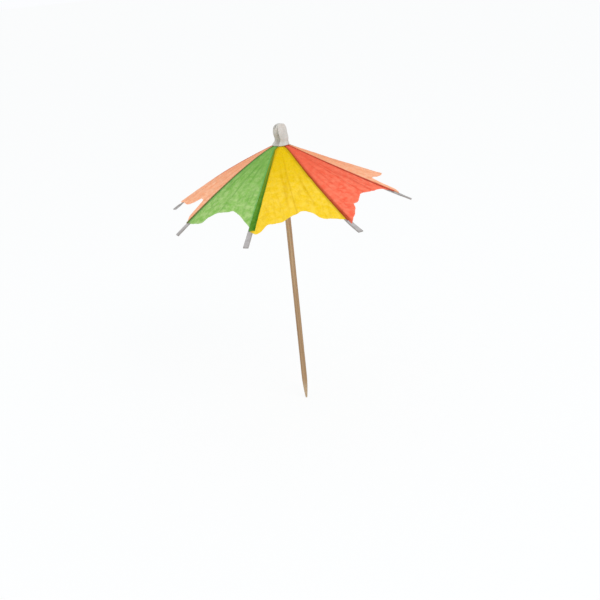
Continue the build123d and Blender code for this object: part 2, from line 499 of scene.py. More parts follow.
def bambooFinish(name):
    finish, tree, surface = newFinish(name)
    place = objectPlace(tree)
    lengthwise = stretched(tree, place, (1.0, 1.0, bamboo["streakRun"]))
    streaks = cloud(tree, lengthwise, bamboo["streakScale"], 4.0, 0.6, 0.2)
    poreLines = stretched(tree, place, (1.0, 1.0, bamboo["poreRun"]))
    pores = remap(tree, cloud(tree, poreLines, bamboo["poreScale"], 2.0, 0.5), *bamboo["poreRange"])
    height = put(tree, "ShaderNodeSeparateXYZ", {0: place}).outputs["Z"]
    lower = remap(tree, height, bamboo["toneTop"], bamboo["toneLow"], 0.0, bamboo["lowShare"])
    color = twoTone(tree, streaks, bamboo)
    color = mixColors(tree, lower, color, fromSrgb(*bamboo["lowTone"]))
    color = tint(tree, color, pores, bamboo["poreShare"], fromSrgb(*bamboo["pore"]))
    edge = {"Color": color, "Edge Color": fromSrgb(*bamboo["cut"]), "Vector": place}
    edge |= {"Amount": bamboo["cutShare"], "Scale": bamboo["cutScale"]}
    color = useGroup(tree, edgeWearAndShadeGroup, edge)["Color"]
    grooves = calc(tree, "SUBTRACT", streaks, calc(tree, "MULTIPLY", pores, bamboo["poreDepth"]))
    rough = remap(tree, streaks, *bamboo["toneRange"], *bamboo["roughness"])
    feed(tree, surface, principled(tree, color, rough, reliefOf(tree, grooves, bamboo)))
    return finish


finishes["bamboo"] = bambooFinish("bamboo_stick")


# Ring: soft moulded plastic, cut from tube, with faint scuffs
ringLook = {
    "light": (232, 92, 122),
    "dark": (204, 58, 96),
    "toneRange": (0.3, 0.7),
    "swirlScale": 700.0,
    "scuff": (244, 150, 168),
    "scuffShare": 0.35,
    "scuffScale": 1500.0,
    "scuffWidth": 0.012,
    "roughness": (0.3, 0.46),
    "softness": 0.15,
    "softDepth": 0.3 * mm,
    "bumpStrength": 0.25,
    "bumpDistance": 0.01 * mm,
}


def ringFinish(name):
    finish, tree, surface = newFinish(name)
    place = objectPlace(tree)
    hairs = {"Vector": place, "Scale": ringLook["scuffScale"], "Width": ringLook["scuffWidth"]}
    fibres = useGroup(tree, fibreGroup, hairs)
    color = twoTone(tree, cloud(tree, place, ringLook["swirlScale"], 3.0, 0.55, 0.4), ringLook)
    color = tint(tree, color, fibres["Hairs"], ringLook["scuffShare"], fromSrgb(*ringLook["scuff"]))
    rough = remap(tree, fibres["Grain"], *ringLook["toneRange"], *ringLook["roughness"])
    soft = {"Subsurface Weight": ringLook["softness"], "Subsurface Scale": ringLook["softDepth"]}
    feed(tree, surface, principled(tree, color, rough, reliefOf(tree, fibres["Grain"], ringLook), soft))
    return finish


finishes["ring_pink"] = ringFinish("pink_sleeve")
print("finishes made:", len(finishes))


# Mesh helpers
sharpAngles = {"card": 50, "paper": 55}  # degrees between faces that keep a sharp edge
endEase = 0.6  # how far a cut end is drawn in, as a share of its edges' rounding


def newPiece(name, mesh, finish, sharpAngle):
    piece = bpy.data.objects.new(name, mesh)
    bpy.context.scene.collection.objects.link(piece)
    mesh.materials.append(finish)
    mesh.shade_smooth()
    mesh.set_sharp_from_angle(angle=math.radians(sharpAngle))
    return piece


def standIn(piece, bodyName, nodeName):
    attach(piece, bodyName)
    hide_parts(nodeName)


def addMarks(mesh, marks):
    for label, values in marks.items():
        mesh.attributes.new(label, "FLOAT", "POINT").data.foreach_set("value", values)


def gridFaces(rowCount, columnCount, offset=0):
    faces = []
    for row in range(rowCount - 1):
        for column in range(columnCount - 1):
            corner = offset + row * columnCount + column
            faces.append((corner, corner + 1, corner + columnCount + 1, corner + columnCount))
    return faces


def thickened(mesh, name, thickness):
    carrier = bpy.data.objects.new(name + "_flat", mesh)
    bpy.context.scene.collection.objects.link(carrier)
    shell = carrier.modifiers.new("thickness", "SOLIDIFY")
    shell.thickness = thickness
    shell.offset = 0.0
    shell.use_even_offset = True
    shell.use_quality_normals = True
    graph = bpy.context.evaluated_depsgraph_get()
    solid = bpy.data.meshes.new_from_object(
        carrier.evaluated_get(graph), preserve_all_data_layers=True, depsgraph=graph
    )
    bpy.data.objects.remove(carrier)
    bpy.data.meshes.remove(mesh)
    solid.name = name
    return solid


# A thin sheet from rows of spots: a point, its place on the flat map in millimetres, and its marks
def sheetPiece(name, rows, labels, thickness, finish):
    points, places, *marks = zip(*(spot for row in rows for spot in row))
    mesh = bpy.data.meshes.new(name)
    mesh.from_pydata(points, [], gridFaces(len(rows), len(rows[0])))
    layer = mesh.uv_layers.new(name="paperMap")
    for loop in mesh.loops:
        layer.data[loop.index].uv = places[loop.vertex_index]
    addMarks(mesh, dict(zip(labels, marks)))
    return newPiece(name, thickened(mesh, name, thickness), finish, sharpAngles["paper"])


# A closed bar from rings of points, each with the same number of points around
def barPiece(name, points, around, rims, finish):
    faces = []
    last = len(points) - around
    for low in range(0, last, around):
        for step in range(around):
            after = (step + 1) % around
            faces.append((low + step, low + after, low + around + after, low + around + step))
    faces.append(tuple(reversed(range(around))))
    faces.append(tuple(range(last, len(points))))
    mesh = bpy.data.meshes.new(name)
    mesh.from_pydata(points, [], faces)
    addMarks(mesh, {"rim": rims})
    return newPiece(name, mesh, finish, sharpAngles["card"])


# A card strip: a rounded section carried along its stations,
# each a centre, two directions, a half width and a half depth
def stripPiece(name, stations, edgeRound, finish):
    points, rims = [], []
    for index, (centre, across, normal, halfWidth, halfDepth) in enumerate(stations):
        atEnd = index in (0, len(stations) - 1)
        for x, y, rim in stripSection(halfWidth, halfDepth, edgeRound):
            points.append(centre + across * x + normal * y)
            rims.append(1.0 if atEnd else rim)
    return barPiece(name, points, len(points) // len(stations), rims, finish)


def stripSection(halfWidth, halfDepth, edgeRound):
    section = []
    for quarter, (sideX, sideY) in enumerate(((1, 1), (-1, 1), (-1, -1), (1, -1))):
        for turn in (0, 45, 90):
            angle = math.radians(quarter * 90 + turn)
            x = sideX * (halfWidth - edgeRound) + edgeRound * math.cos(angle)
            y = sideY * (halfDepth - edgeRound) + edgeRound * math.sin(angle)
            section.append((x, y, 1.0))
        if quarter in (0, 2):  # the broad faces carry three clean points
            for share in (0.6, 0.0, -0.6):
                section.append((sideX * share * halfWidth, sideY * halfDepth, 0.0))
    return section


# The end stations of a strip, drawn in a little so that the cut corners are eased
def easedEnds(stations, edgeRound):
    ends = []
    for end, inner in ((stations[0], stations[1]), (stations[-1], stations[-2])):
        centre, across, normal, halfWidth, halfDepth = end
        drawnIn = edgeRound * endEase
        further = centre + (centre - inner[0]).normalized() * drawnIn
        ends.append((further, across, normal, halfWidth - drawnIn, halfDepth - drawnIn))
    return [ends[0], *stations, ends[1]]


# Pick: an ogive point, a straight shank and a slight taper inside the canopy
pick = {
    "around": 48,
    "pointRows": 26,
    "shankRows": 60,
    "topRows": 14,
    "fullWidth": 0.999,  # the share of the greatest radius that counts as shank
    "gather": 1.3,  # the point's rows stand closer towards its end
    "flutes": 7,
    "fluteDepth": 0.022 * mm,
    "fluteWander": 2.5,
    "fluteRun": 60,  # noise per metre of the stick
    "roughShare": 0.6,
    "roughScale": 2.3,
    "pointCut": 0.12 * mm,  # the point's end is cut a little askew
    "cutStart": 0.5 * mm,  # the pale, freshly cut stretch fades from here
    "cutLength": 9 * mm,
}


def makePick():
    low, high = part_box("pick")
    points = pointsOf("pick")
    radius = widestOf(points)
    shank = [point.z for point in points if point.xy.length > radius * pick["fullWidth"]]
    shankLow, shankHigh = min(shank), max(shank)
    pointRadius = widestOf(pointsOf("pick", high=low.z + onFace))
    topRadius = widestOf(pointsOf("pick", low=high.z - onFace))
    bulge = (shankLow**2 + (radius - pointRadius) ** 2) / (2 * (radius - pointRadius))  # ogive arc

    def radiusAt(z):
        if z < shankLow:
            return radius - bulge + math.sqrt(bulge**2 - (shankLow - z) ** 2)
        return between(radius, topRadius, max(z - shankHigh, 0) / (high.z - shankHigh))

    pointRows, shankRows, topRows = (pick[part + "Rows"] for part in ("point", "shank", "top"))
    around = pick["around"]
    heights = [shankLow * (row / pointRows) ** pick["gather"] for row in range(pointRows)]
    heights += [between(shankLow, shankHigh, row / shankRows) for row in range(shankRows)]
    heights += [between(shankHigh, high.z, row / topRows) for row in range(topRows + 1)]
    spots, rims = [], []
    for z in heights:
        for step in range(around):
            angle = 2 * math.pi * step / around
            spot = Vector((math.cos(angle), math.sin(angle), z * pick["fluteRun"]))
            flute = abs(math.sin(pick["flutes"] * angle / 2 + pick["fluteWander"] * noise.noise(spot)))
            rough = pick["roughShare"] * abs(noise.noise(spot * pick["roughScale"]))
            reach = radiusAt(z) - pick["fluteDepth"] * ((1 - flute) ** 2 + rough)
            lift = pick["pointCut"] * (1 + math.cos(angle)) / 2 if z == heights[0] else 0
            spots.append(Vector((reach * math.cos(angle), reach * math.sin(angle), z + lift)))
            rims.append(1 - smooth(pick["cutStart"], pick["cutLength"], z))
    piece = barPiece("pick_stick", spots, around, rims, finishes["bamboo"])
    standIn(piece, "root", "pick")


makePick()
print("pick made")


# Ribs: card fingers that leave the crown's lower edge and bend out at the fold
rib = {
    "edgeRound": 0.07 * mm,
    "rise": 0.75 * mm,  # the part of the finger above the fold
    "foldRadius": 0.32 * mm,
    "rootHalf": 0.62 * mm,
    "riseSteps": 5,
    "foldSteps": 8,
    "rows": 40,
    "blendAbove": 0.3 * mm,  # the card bends from here
    "blendBelow": 0.35 * mm,  # to here
    "bow": {3: 0.4 * mm, 4: 1.0 * mm, 5: 0.95 * mm},  # arched by the pull of the paper
    "bowEarly": {5: 0.65},  # below 1 the arch is highest nearer to the crown
    # how far the outer end hangs below the straight line, less than 0 where it is lifted
    "sag": {
        1: -0.8 * mm, 2: -0.5 * mm, 3: 0.5 * mm, 4: 1.0 * mm,
        5: 1.74 * mm, 6: 0.5 * mm, 7: 0.5 * mm, 8: -1.25 * mm,
    },
    "sway": {6: -0.85 * mm},  # the whole rib stands to one side
    "swayReach": 2 * mm,
    "splay": {7: 0.4 * mm},  # to one side near the crown only
    "splayReach": 16 * mm,
    "swerve": {7: 1.5 * mm},  # the outer end turns to one side
    "tipBend": {2: 0.4 * mm, 3: -0.3 * mm, 6: -0.1 * mm, 7: 0.55 * mm},
    "tipDroop": {6: 0.2 * mm},
    "twist": {2: -8.0, 4: 18.0, 8: -10.0},  # degrees, from the paper to the tip
    "twistBy": 0.5,  # fully turned from this share of the tip
    "tipCurl": 1.5,  # above 1 the tip bends nearer to its end
    "shortTip": {1: 6.6 * mm, 5: 1.0 * mm},  # snapped off
    "wobble": 0.03 * mm,
    "wobbleRun": 220,  # noise per metre of the rib
}


def ribBow(number, s):
    share = within(s / ribReach)
    return rib["bow"].get(number, 0) * math.sin(math.pi * share ** rib["bowEarly"].get(number, 1.0))


# How far a rib, with the paper on it, stands off its straight line
def ribOffset(number, s):
    own = ribs[number]
    share = within(s / ribReach)
    bow = ribBow(number, s) - rib["sag"].get(number, 0) * share * share
    leaving = smooth(0, rib["swayReach"], s)
    sway = rib["sway"].get(number, 0) * leaving
    sway += rib["splay"].get(number, 0) * leaving * (1 - smooth(0, rib["splayReach"], s))
    sway += rib["swerve"].get(number, 0) * share**3
    return own["outward"] * bow + own["across"] * sway


def ribHalfAt(s):
    return between(rib["rootHalf"], ribTipHalf, s / ribReach)


def makeRib(number):
    own = ribs[number]
    fold, along, across, outward = (own[key] for key in ("fold", "along", "across", "outward"))
    away = Vector((along.x, along.y, 0)).normalized()
    swing = math.pi - upward.angle(along)  # how far the finger turns out at its fold
    start = rib["foldRadius"] * math.tan(swing / 2)
    stations = []
    for step in range(rib["riseSteps"]):
        height = between(rib["rise"], start, step / rib["riseSteps"])
        stations.append((fold + upward * height, across, away, rib["rootHalf"], cardHalf))
    centre = fold + upward * start + away * rib["foldRadius"]
    for step in range(rib["foldSteps"] + 1):
        turn = swing * step / rib["foldSteps"]
        normal = away * math.cos(turn) + upward * math.sin(turn)
        stations.append((centre - normal * rib["foldRadius"], across, normal, rib["rootHalf"], cardHalf))
    end = ribReach - rib["shortTip"].get(number, 0) - rib["edgeRound"] * endEase
    for step in range(1, rib["rows"] + 1):
        s = between(start, end, step / rib["rows"])
        tip = (max(s - paperReach, 0) / (ribReach - paperReach)) ** rib["tipCurl"]
        uneven = rib["wobble"] * noise.noise(Vector((number * 7.3, s * rib["wobbleRun"], 0)))
        side = across * (rib["tipBend"].get(number, 0) * tip + uneven)
        drop = outward * (rib["tipDroop"].get(number, 0) * tip)
        centre = fold + along * s + ribOffset(number, s) + side - drop
        twist = math.radians(rib["twist"].get(number, 0)) * smooth(0, rib["twistBy"], tip)
        turn = Matrix.Rotation(twist, 3, along)
        stations.append((centre, turn @ across, turn @ outward, ribHalfAt(s) + uneven, cardHalf))
    name = f"rib_card_{number}"
    piece = stripPiece(name, easedEnds(stations, rib["edgeRound"]), rib["edgeRound"], finishes["ribCard"])
    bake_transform(piece)
    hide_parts(f"rib_{number}")
    return piece


ribPieces = {number: makeRib(number) for number in ribNumbers}
print("ribs made:", len(ribPieces))


# Gores: one curved sheet between two ribs, in two halves that meet at the middle crease
gore = {
    "columns": 44,
    "rows": 54,
    "gather": 1.5,  # the columns stand closer beside the rib
    "start": 0.2 * mm,  # from the ribs' fold to the paper's inner edge
    "thickness": 0.07 * mm,
    "dome": 0.55,  # 0 is a straight rise from rib to crease, 1 a full arch
    # lower creases than the solids have, so that the halves stay closer together when they fold
    "riseShare": {1: 0.8, 2: 0.7, 3: 0.45, 7: 0.82, 8: 0.74},
    "slack": {4: 0.9, 5: 0.7},  # how little the crease follows the bow of its ribs
    "lapSide": 0.95 * mm,  # the band beside the rib that stays flat
    "freeSide": 3.2 * mm,  # from here the paper wrinkles freely
    # unevenness: height, and its size across and along the gore
    "wrinkle": (0.11 * mm, 1.5 * mm, 9 * mm),
    "crumple": (0.05 * mm, 0.7 * mm, 1.2 * mm),
    "flutter": (0.4 * mm, 3.2 * mm, 14 * mm),
    "flutterFrom": 0.72,  # the paper flutters beyond this share of its reach
    # wrinkle lines, with their starts and lengths in millimetres
    "lineCount": 7,
    "lineSpread": 0.8,
    "lineStart": (5, 20),
    "lineLength": (8, 22),
    "lineDrift": 0.07,
    "lineStrength": (0.4, 1.0),
    "lineDepth": 0.12 * mm,
    "lineEnd": 0.02,  # the share at each end where a line stays at its thinnest
    "lineReach": 0.5 * mm,
    # Width of the painted shade along wrinkle lines and the middle crease, its strength at the crease, and
    # where it fades in
    "lineMark": 0.28 * mm,
    "creaseMark": 0.22 * mm,
    "creaseShare": 0.7,
    "creaseFade": (4 * mm, 14 * mm),
    # Painted shadow of the rib card under the paper: where it starts beside the card's edge and how softly it
    # fades
    "ribShadowFrom": 0.1 * mm,
    "ribShadowFade": 0.45 * mm,  # how softly the painted shadow of the card under the paper fades out
    "bendBefore": 0.15 * mm,  # the paper's bend beside the rib, wider where the rib isn't straight
    "bendAfter": 0.25 * mm,
    "bendSpread": 0.6,
    "bendReach": 24 * mm,
    "swerveShare": 0.4,
    "mapStep": 70,  # keeps the gores' flat maps apart
    "hemRim": 0.9 * mm,
    "jag": 0.2 * mm,
    "jagSizes": ((1.3 * mm, 1.0, 5.1, 0), (0.45 * mm, 0.55, 9.7, 3)),  # size, weight and two seeds
    "nickWidth": 0.3 * mm,
    "hemEase": 0.7,  # how roundly the hem passes its points
    # torn hems: angle from the crease in degrees, reach from the fold along the crease in millimetres
    "hems": {
        1: ((-20, 37.0), (-14, 35.4), (-8, 32.6), (0, 31.0), (7, 31.6), (13, 34.2), (20, 36.6)),
        2: ((-20, 36.6), (-17, 35.8), (-10, 33.6), (-3, 31.4), (4, 31.2), (11, 33.0), (20, 36.8)),
        3: ((-20, 36.8), (-13, 34.4), (-10, 32.6), (-2, 30.8), (6, 31.8), (12, 34.4), (20, 36.8)),
        4: (
            (-20, 36.8), (-10, 36.0), (2.4, 34), (6.6, 33.2), (9.4, 31.3), (10.9, 29.1),
            (11.8, 28), (14.2, 28), (15.4, 29.5), (16, 31.8), (16.8, 33.9), (20, 35.4),
        ),
        5: (
            (-20, 35), (-15, 36.1), (-9, 36.7), (-6, 36.5), (-5, 34.6), (-2, 32.7), (3, 31.4),
            (7, 30.1), (12, 31.1), (16, 32.6), (20, 34.2),
        ),
        6: (
            (-20, 35.4), (-17, 37), (-15.5, 36.8), (-13, 35), (-9, 35.4), (-6, 35.2), (-3, 34),
            (0, 33.4), (2.3, 32.4), (5.4, 32.7), (7.5, 33.6), (9, 35.2), (11.5, 35.6), (20, 35.4),
        ),
        7: (
            (-20, 37.4), (-16.4, 35.9), (-12.3, 34.2), (-10.9, 32.9), (-8.7, 33), (-5.8, 32.1),
            (-1.9, 31), (2, 31.9), (8, 32.3), (15, 32.6), (20, 34.1),
        ),
        8: (
            (-20, 36.8), (-16.6, 36), (-15.9, 32.5), (-14.5, 28.6), (-7.9, 31.1), (-1.9, 32.9),
            (6, 34.2), (20, 36.6),
        ),
    },
    "nicks": {7: ((-11.1, 0.4 * mm),), 2: ((6, 0.7 * mm),)},
    "papers": ("paper_green", "paper_yellow", "paper_coral", "paper_peach"),
}


# The flat plane between two ribs, seen from where their lines meet on the pick's axis
def gorePlane(number):
    near, far = ribs[number], ribs[nextRib(number)]
    mid = (near["along"] + far["along"]).normalized()
    chord = (far["along"] - near["along"]).normalized()
    origin = near["fold"] + near["outward"] * paperLevel
    toAxis = origin.xy.length / near["along"].xy.length
    plane = {
        "apex": origin - near["along"] * toAxis,
        "toAxis": toAxis,
        "mid": mid,
        "chord": chord,
        "normal": mid.cross(chord),
        "half": near["along"].angle(mid),
        "flatSlope": near["across"].dot(mid.cross(chord)) / near["across"].dot(chord),
    }
    plane["rise"] = creaseRise(number, plane) * gore["riseShare"].get(number, 1.0)
    return plane


# How steeply the solid half gore climbs from its rib to the crease
def creaseRise(number, plane):
    corners = [v.co - plane["apex"] for v in nodes[f"panel_{number}a"].data.vertices]
    crest = max(corners, key=lambda corner: corner.dot(plane["normal"]))
    reach = math.hypot(crest.dot(plane["mid"]), crest.dot(plane["chord"]))
    angle = math.atan2(crest.dot(plane["chord"]), crest.dot(plane["mid"]))
    side = reach * math.sin(plane["half"] - abs(angle))
    return (crest.dot(plane["normal"]) - hingeSide * plane["flatSlope"]) / (side - hingeSide)


def hemReach(number, angle, toFold):
    hem = gore["hems"][number]
    degrees = math.degrees(angle)
    index = 0
    while index < len(hem) - 2 and degrees > hem[index + 1][0]:
        index += 1
    before, after = hem[index], hem[index + 1]
    share = within((degrees - before[0]) / (after[0] - before[0]))
    slopes = []
    for place in (index, index + 1):
        left, right = hem[max(place - 1, 0)], hem[min(place + 1, len(hem) - 1)]
        slopes.append((right[1] - left[1]) / (right[0] - left[0]) * (after[0] - before[0]) * gore["hemEase"])
    square, cube = share * share, share**3
    reach = (2 * cube - 3 * square + 1) * before[1] + (3 * square - 2 * cube) * after[1]
    reach += (cube - 2 * square + share) * slopes[0] + (cube - square) * slopes[1]
    straight = reach * mm + toFold * math.cos(ribAngle)
    across = straight * angle
    torn = 0.0
    for size, weight, numberSeed, seed in gore["jagSizes"]:
        torn += weight * noise.noise(Vector((across / size, number * numberSeed, seed)))
    for place, depth in gore["nicks"].get(number, ()):
        offset = straight * (angle - math.radians(place)) / gore["nickWidth"]
        torn -= depth / gore["jag"] * math.exp(-offset * offset)
    return (straight + gore["jag"] * torn) / math.cos(angle)


# Wrinkle lines of a gore as pairs of flat points, from the crown outwards
def wrinkleLines(number, plane):
    draw = random.Random(300 + number)
    lines = []
    for _ in range(gore["lineCount"]):
        angle = draw.uniform(-gore["lineSpread"], gore["lineSpread"]) * plane["half"]
        start, length = draw.uniform(*gore["lineStart"]) * mm, draw.uniform(*gore["lineLength"]) * mm
        drift = draw.uniform(-gore["lineDrift"], gore["lineDrift"])
        ends = []
        for reach, turn in ((start, angle), (start + length, angle + drift)):
            ends.append(Vector((reach * math.sin(turn), reach * math.cos(turn))))
        lines.append((*ends, draw.choice((-1, 1)) * draw.uniform(*gore["lineStrength"])))
    return lines


def nearLine(place, start, end):
    run = end - start
    inside = within((place - start).dot(run) / run.length_squared)
    taper = math.sin(math.pi * within(inside, gore["lineEnd"], 1 - gore["lineEnd"]))
    return (place - start - run * inside).length, taper


def creaseSlack(number, s):
    return gore["slack"].get(number, 0) * (ribBow(number, s) + ribBow(nextRib(number), s)) / 2


# The paper's unevenness at a flat place, and how much painted shade shows there along its crease and wrinkle
# lines
def paperLift(number, lines, place, reach, hem):
    lift = 0.0
    nearHem = smooth(gore["flutterFrom"], 1.0, reach / hem)
    for index, (key, share) in enumerate((("wrinkle", 1.0), ("crumple", 1.0), ("flutter", nearHem))):
        height, across, along = gore[key]
        spot = Vector((place.x / across, place.y / along, number * 11.3 + 4 * index))
        lift += height * share * noise.noise(spot)
    # Painted shade along the middle crease and the wrinkle lines
    paintedShade = gore["creaseShare"] * math.exp(-((place.x / gore["creaseMark"]) ** 2))
    paintedShade *= smooth(*gore["creaseFade"], reach)
    for start, end, strength in lines:
        distance, taper = nearLine(place, start, end)
        lift += gore["lineDepth"] * strength * taper * math.exp(-distance / gore["lineReach"])
        paintedShade = max(paintedShade, abs(strength) * taper * math.exp(-((distance / gore["lineMark"]) ** 2)))
    return lift, paintedShade


def goreSurface(number, plane, lines, angle, reach, hem):
    side = reach * math.sin(plane["half"] - abs(angle))
    full = reach * math.sin(plane["half"])
    flatSide = gore["lapSide"]
    along = reach * math.cos(plane["half"] - abs(angle)) - plane["toAxis"]
    height = min(side, flatSide) * plane["flatSlope"]
    if side > flatSide and full > flatSide:
        share = (side - flatSide) / (full - flatSide)
        arch = (1 + gore["dome"]) * share - gore["dome"] * share * share
        height += (full - flatSide) * plane["rise"] * arch
        height -= creaseSlack(number, along) * smooth(0, 1, share)
    free = smooth(flatSide, gore["freeSide"], side)
    place = Vector((reach * math.sin(angle), reach * math.cos(angle)))
    lift, paintedShade = paperLift(number, lines, place, reach, hem)
    height += lift * free
    flat = plane["mid"] * place.y + plane["chord"] * place.x
    toFar = (angle / plane["half"] + 1) / 2
    moved = between(ribOffset(number, along), ribOffset(nextRib(number), along), toFar)
    cardEdge = ribHalfAt(along)
    # Painted shadow of the rib's card seen through the paper, in a band beside the rib
    ribShadow = 1 - smooth(cardEdge - gore["ribShadowFrom"], cardEdge + gore["ribShadowFade"], side)
    return plane["apex"] + flat + plane["normal"] * height + moved, paintedShade * free, ribShadow


def makeHalfGore(number, letter, plane, lines):
    sign = -1 if letter == "a" else 1
    toAxis, half = plane["toAxis"], plane["half"]
    startReach = toAxis + gore["start"]
    shares = [(column / gore["columns"]) ** gore["gather"] for column in range(gore["columns"] + 1)]
    angles = [sign * half * (1 - share) for share in shares]
    hems = [hemReach(number, angle, toAxis) for angle in angles]
    rows = []
    for row in range(gore["rows"] + 1):
        spots = []
        for angle, hem in zip(angles, hems):
            reach = between(startReach, hem, row / gore["rows"])
            # fold is the painted shade along the creases and wrinkle lines
            point, fold, ribShadow = goreSurface(number, plane, lines, angle, reach, hem)
            place = (reach * angle / mm + number * gore["mapStep"], reach / mm)
            rim = 1 - smooth(0, gore["hemRim"], hem - reach)
            spots.append((point, place, fold, ribShadow, rim))
        rows.append(spots if letter == "a" else spots[::-1])  # keeps the outer face up on both halves
    area = 0.0
    for share, after in zip(shares, shares[1:]):
        hem = hemReach(number, sign * (half * (1 - (share + after) / 2)), toAxis)
        area += (after - share) * half * (hem**2 - startReach**2) / 2
    paper = gore["papers"][(number - 1) % len(gore["papers"])]
    labels = ("paintedShade", "ribShadow", "rim")
    piece = sheetPiece(f"gore_{number}{letter}", rows, labels, gore["thickness"], finishes[paper])
    carrier = number if letter == "a" else nextRib(number)
    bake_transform(piece)
    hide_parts(f"panel_{number}{letter}")
    longest = max(hems)
    return piece, (longest * math.sin(half), longest - startReach), area, carrier


# Laps: the doubled paper glued over each rib, with painted shade along one side
lap = {
    "rootHalf": 0.14 * mm,
    "hemHalf": 0.85 * mm,
    "widening": 0.9,
    "width": {1: 0.8, 5: 0.55, 6: 1.15, 7: 0.64, 8: 0.85},
    "shift": {5: -0.35 * mm, 6: 0.45 * mm, 7: 0.15 * mm},
    "endShift": {5: -0.6 * mm, 6: -0.9 * mm, 7: -0.2 * mm, 8: -0.9 * mm},
    "endJag": 0.35 * mm,
    "endRim": 0.8 * mm,
    "level": 0.35 * mm,
    "thickness": 0.06 * mm,
    "crown": 0.05 * mm,
    "columns": 10,
    "rows": 70,
    "edgeWobble": 0.07 * mm,
    "edgeRun": 400,  # noise per metre of the rib
    "waver": 0.03 * mm,
    "waverRun": 300,
    # Painted shade along one side of each lap: which side, across what span, and less of it up to the crown
    "darkSide": {6: 1},
    "darkRange": (-0.3, 0.9),
    "darkReach": (3 * mm, 16 * mm),  # less dark up to the crown
    "darkLeast": 0.3,
    "mapStep": 30,  # keeps the laps' flat maps apart
    "shades": ("lap_olive", "lap_green", "lap_rust", "lap_red"),
    "slots": ("lap_green", "lap_green", "lap_coral", "lap_coral"),
}


def lapSpot(number, side, share):
    own = ribs[number]
    end = paperReach + lap["endShift"].get(number, 0)
    end += lap["endJag"] * noise.noise(Vector((side * 2.1, number * 3.7, 1)))
    s = between(gore["start"], end, share)
    out = (s / paperReach) ** lap["widening"]
    half = between(lap["rootHalf"], lap["hemHalf"], out) * lap["width"].get(number, 1.0)
    half += lap["edgeWobble"] * noise.noise(Vector((s * lap["edgeRun"], number * 2.9, side)))
    offset = side * half + lap["shift"].get(number, 0) * out
    level = lap["level"] + lap["crown"] * (1 - side * side)
    level += lap["waver"] * noise.noise(Vector((s * lap["waverRun"], side * 1.5, number * 6.1)))
    middle = own["fold"] + own["along"] * s + ribOffset(number, s)
    point = middle + own["across"] * offset + own["outward"] * level
    place = (side * half / mm + number * lap["mapStep"], s / mm)
    # Painted shade, darkest along one side and lighter up to the crown
    darkened = smooth(*lap["darkRange"], side * lap["darkSide"].get(number, -1))
    darkened *= between(lap["darkLeast"], 1.0, smooth(*lap["darkReach"], s))
    return point, place, darkened, 1 - smooth(0, lap["endRim"], end - s)


def makeLap(number):
    sides = [2 * column / lap["columns"] - 1 for column in range(lap["columns"] + 1)]
    shares = [row / lap["rows"] for row in range(lap["rows"] + 1)]
    rows = [[lapSpot(number, side, share) for side in sides] for share in shares]
    index = (number - 1) % len(lap["shades"])
    finish = finishes[lap["shades"][index]]
    piece = sheetPiece(f"lap_strip_{number}", rows, ("paintedShade", "rim"), lap["thickness"], finish)
    standIn(piece, f"rib_{number}", f"seam_lap_{number}")
    return piece


lapPieces = {number: makeLap(number) for number in ribNumbers}
for number in ribNumbers:
    plane = gorePlane(number)
    lines = wrinkleLines(number, plane)
    for letter in "ab":
        piece, flat, area, carrier = makeHalfGore(number, letter, plane, lines)
print("canopy made:", 2 * ribCount, "half gores and", len(lapPieces), "laps")


# Stretchers: thinner card fingers, glued under the ribs and creased where they leave them
stretcher = {
    "edgeRound": 0.06 * mm,
    "tabInset": 0.05 * mm,
    "heel": 1.2 * mm,  # where the glued tab starts to leave the rib, past the crease
    "heelPull": 0.45,
    "creaseRise": 0.06 * mm,
    "armStart": 0.9 * mm,  # from the crease, where the arm is straight again
    "rootShare": 0.92,
    "tabRows": 8,
    "turnRows": 12,
    "rows": 24,
    "wobble": 0.03 * mm,
    "wobbleStep": 0.4,
    "blendOuter": 0.5 * mm,  # the card bends from outside the crease
    "blendInner": 0.4 * mm,  # to inside it
}


def makeStretcher(number):
    own = ribs[number]
    fold, along, across, outward = (own[key] for key in ("fold", "along", "across", "outward"))
    crease = own["crease"]
    tabName, armName = f"stretcher_tab_{number}", f"stretcher_{number}"
    tabLow, tabHigh = spanOf(tabName, fold, outward)
    tabEnd = spanOf(tabName, fold, along)[1] - stretcher["tabInset"]
    half = spanOf(armName, crease, across)[1]
    depth = (tabHigh - tabLow) / 2
    creaseReach = (crease - fold).dot(along)
    heel = creaseReach + stretcher["heel"]
    runnerFold = Vector((fold.x, fold.y, 2 * crease.z - fold.z))  # the arms mirror each other
    bentCrease = crease + ribOffset(number, creaseReach)
    inward = (runnerFold - bentCrease).normalized()

    def onTab(s):
        return fold + along * s + outward * (tabHigh + tabLow) / 2 + ribOffset(number, s)

    path = [onTab(between(tabEnd, heel, step / stretcher["tabRows"])) for step in range(stretcher["tabRows"])]
    leave = bentCrease + outward * stretcher["creaseRise"]
    arrive = bentCrease + inward * stretcher["armStart"]
    bend = (onTab(heel), onTab(creaseReach + stretcher["heelPull"] * stretcher["heel"]), leave, arrive)
    for step in range(stretcher["turnRows"]):  # one smooth turn from the tab into the arm
        share = step / (stretcher["turnRows"] - 1)
        rest = 1 - share
        weights = (rest**3, 3 * rest**2 * share, 3 * rest * share**2, share**3)
        path.append(sum((point * weight for point, weight in zip(bend, weights)), Vector()))
    for step in range(1, stretcher["rows"] + 1):
        path.append(between(arrive, runnerFold, step / stretcher["rows"]))
    stations = []
    for index, centre in enumerate(path):
        run = path[min(index + 1, len(path) - 1)] - path[max(index - 1, 0)]
        normal = across.cross(run).normalized()
        taper = between(1.0, stretcher["rootShare"], index / len(path))
        waver = noise.noise(Vector((index * stretcher["wobbleStep"], number * 4.3, 5)))
        stations.append((centre, across, normal, half * taper + stretcher["wobble"] * waver, depth))
    ends = easedEnds(stations, stretcher["edgeRound"])
    piece = stripPiece(f"stretcher_card_{number}", ends, stretcher["edgeRound"], finishes["ribCard"])
    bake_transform(piece)
    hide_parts(armName, tabName)


for number in ribNumbers:
    makeStretcher(number)
print("stretchers made:", ribCount)


